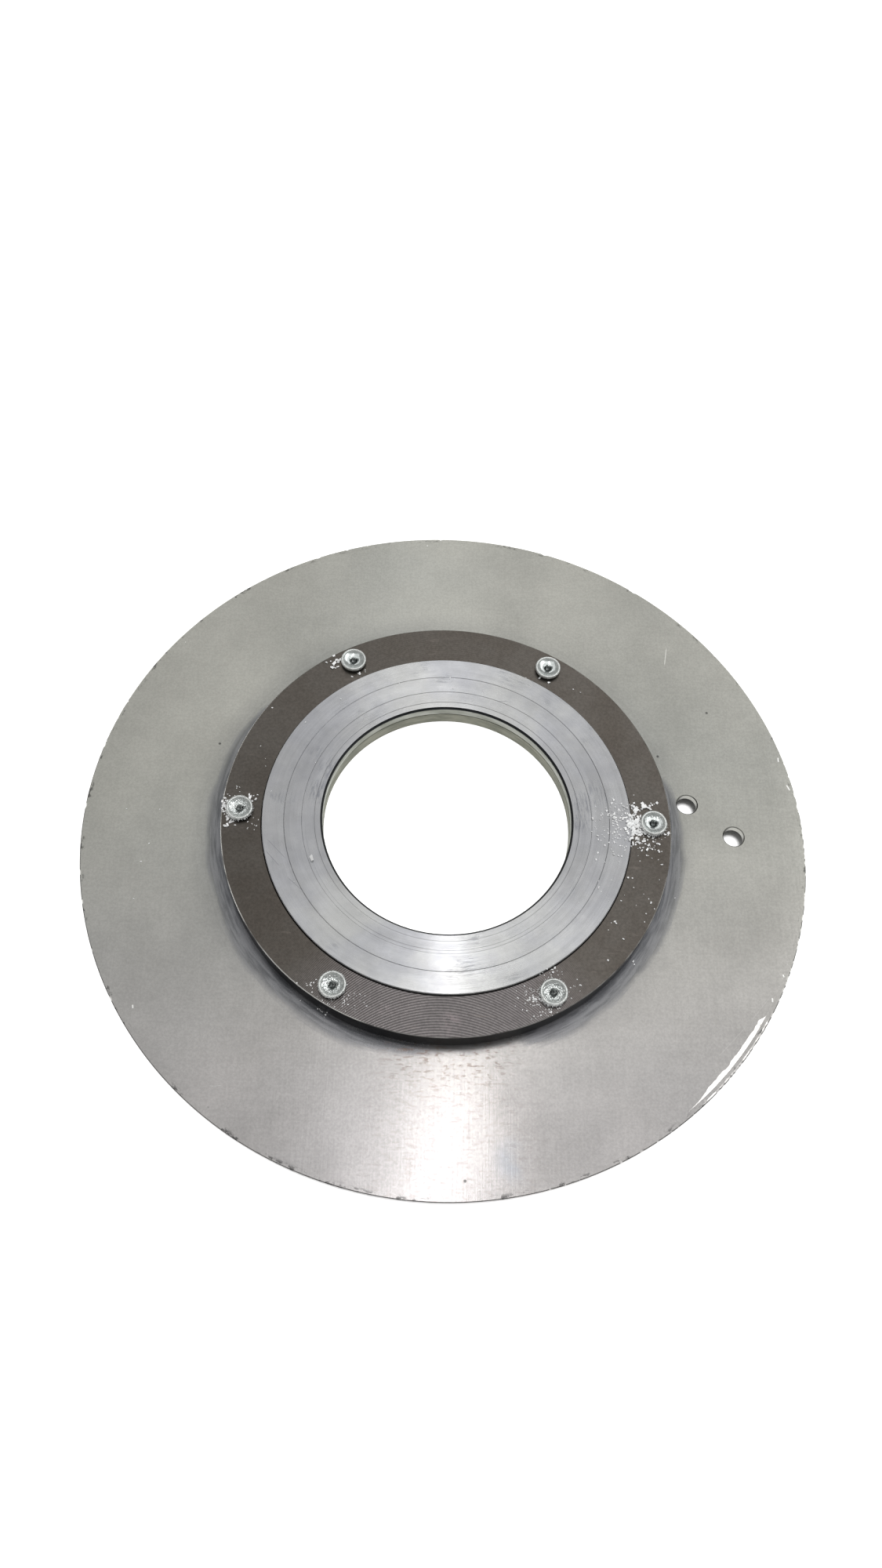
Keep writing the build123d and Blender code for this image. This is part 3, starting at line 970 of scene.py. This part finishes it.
def build_light():
    """A grey room with a bright ceiling, brighter to the right, a window and a lamp at the side."""
    world = bpy.data.worlds.new("studio")
    bpy.context.scene.world = world
    world.use_nodes = True
    background = world.node_tree.nodes["Background"]
    background.inputs["Color"].default_value = (1.0, 1.0, 0.985, 1)
    background.inputs["Strength"].default_value = 0.34
    strips = [(-0.70, -0.35, 0.39), (-0.35, -0.10, 0.44), (-0.10, 0.15, 0.49), (0.15, 1.00, 0.51)]
    for number, (left, right, radiance) in enumerate(strips):
        place = ((left + right) / 2, 0.50, 1.0)
        panel(f"ceiling_{number + 1}", place, right - left, 1.4, radiance)
    panel("right_wall", (0.92, 0.35, 0.93), 0.8, 1.2, 0.65)
    panel("side_glow", (0.20, 0.05, 0.97), 0.22, 0.40, 0.12)
    panel("far_strip", (0.0, 0.70, 0.94), 0.14, 0.55, 0.22)

    # the window is mirrored in the disc, its glow beside it and its top in the carrier
    warm, violet = (1.0, 0.97, 0.975), (1.0, 0.98, 1.0)
    panel("window", (0.026, -0.01, 0.95), 0.052, 0.40, 4.4, warm, "ELLIPSE", turn=-7.4)
    panel("window_glow", (-0.050, -0.01, 0.96), 0.085, 0.40, 0.6, violet)
    panel("window_top", (0.045, 0.29, 0.955), 0.05, 0.14, 3.0)

    # the lamp at the side is mirrored in the worn stripe inside the rim
    panel("rim_light", (0.452, 0.053, 0.88), 0.20, 0.05, 5.5, turn=49)


def build_camera():
    """The camera stands near and looks steeply down, turned a little about its own line of sight."""
    turn, elevation, roll = radians(-2.8), radians(62.63), radians(4.67)
    camera = bpy.data.objects.new("camera", bpy.data.cameras.new("camera"))
    camera.data.sensor_fit = "VERTICAL"
    camera.data.sensor_height = 36.0
    camera.data.lens = 28.63
    camera.data.clip_start = 0.01
    aim = Matrix.Rotation(turn, 4, "Z") @ Matrix.Rotation(pi / 2 - elevation, 4, "X")
    aim = aim @ Matrix.Rotation(roll, 4, "Z")
    place = Vector((-0.01354, -0.2076, disc_front + 0.4379))
    camera.matrix_world = Matrix.Translation(place) @ aim
    bpy.context.scene.collection.objects.link(camera)
    bpy.context.scene.camera = camera


def paint(node, material):
    """Gives a CAD node its material; its shape and place stay as they are."""
    piece = frame["nodes"][node]
    piece.data.materials.clear()
    piece.data.materials.append(material)


def build():
    bpy.context.scene.view_settings.view_transform = "Standard"
    build_camera()
    build_light()
    build_stage()
    paint("clamp_ring", blackened_steel())
    paint("carrier", turned_aluminium())
    friction_disc(ground_steel())
    rim = rivet_rim()
    clean_dish = rivet_dish("rivet_dish", False)
    torn_dish = rivet_dish("torn_rivet_dish", True)
    torn = {"rivet_1": 0.4, "rivet_4": 0.9, "rivet_5": 0.8, "rivet_6": 0.9}
    for seed, name in enumerate(rivet_names):
        coarse = torn.get(name, 0.0)
        dish = torn_dish if coarse > 0.5 else clean_dish
        rivet(name, (rim, dish), coarse, seed)
    chips = swarf_metal()
    burrs("rivet_1", 31, chips, [(265, 40, 60, 0.8 * MM), (335, 15, 8, 1.1 * MM)])
    burrs("rivet_4", 34, chips, [(250, 60, 90, 0.8 * MM), (90, 60, 60, 0.5 * MM)])
    burrs("rivet_5", 35, chips, [(90, 180, 150, 0.35 * MM)])
    burrs("rivet_6", 36, chips, [(220, 45, 90, 0.8 * MM), (60, 90, 50, 0.35 * MM)])
    all_swarf(chips)


build()
